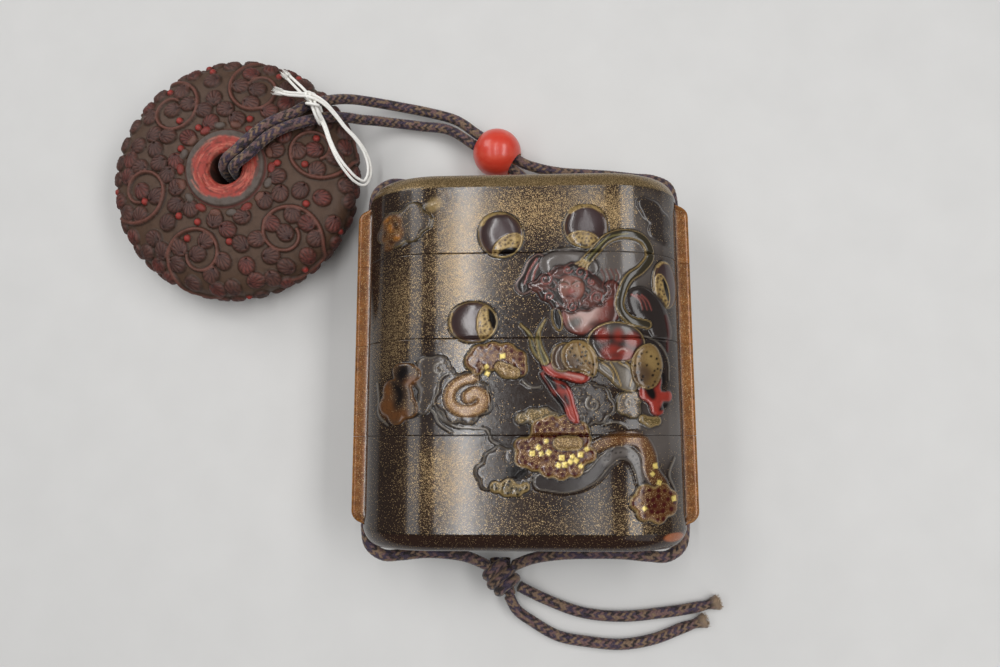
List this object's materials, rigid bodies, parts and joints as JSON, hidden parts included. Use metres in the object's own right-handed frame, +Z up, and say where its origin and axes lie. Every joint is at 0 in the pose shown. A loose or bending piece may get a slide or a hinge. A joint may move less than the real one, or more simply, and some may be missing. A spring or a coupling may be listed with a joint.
{
  "type": "inro case",
  "caption": "Tiered lacquer inro lying on its back, with ribbed sides, a knotted silk cord, a round bead and a carved button toggle.",
  "frame": {"origin": "middle of the case's flat back, at half of the case's height", "axes": "+Z up out of the decorated front, +Y from the base towards the lid, +X to the right seen from the front"},
  "size_m": [0.1265, 0.1241, 0.0261],
  "materials": {
    "lacquer": "black-brown lacquer with sprinkled gold, glossy",
    "carved_toggle": "dark stained carved lacquer, satin, worn red at the rim",
    "coral": "polished coral red",
    "silk": "braided purple-blue and tan silk",
    "cotton": "white twisted cotton thread"
  },
  "bodies": {
    "root": {"base_case": "lacquer", "lower_case": "lacquer", "upper_case": "lacquer", "lid": "lacquer", "button_toggle": "carved_toggle", "slide_bead": "coral", "cord_left": "silk", "cord_right": "silk", "cord_knot": "silk", "tail_upper": "silk", "tail_lower": "silk", "tag_thread": "cotton"}
  },
  "joints": []
}
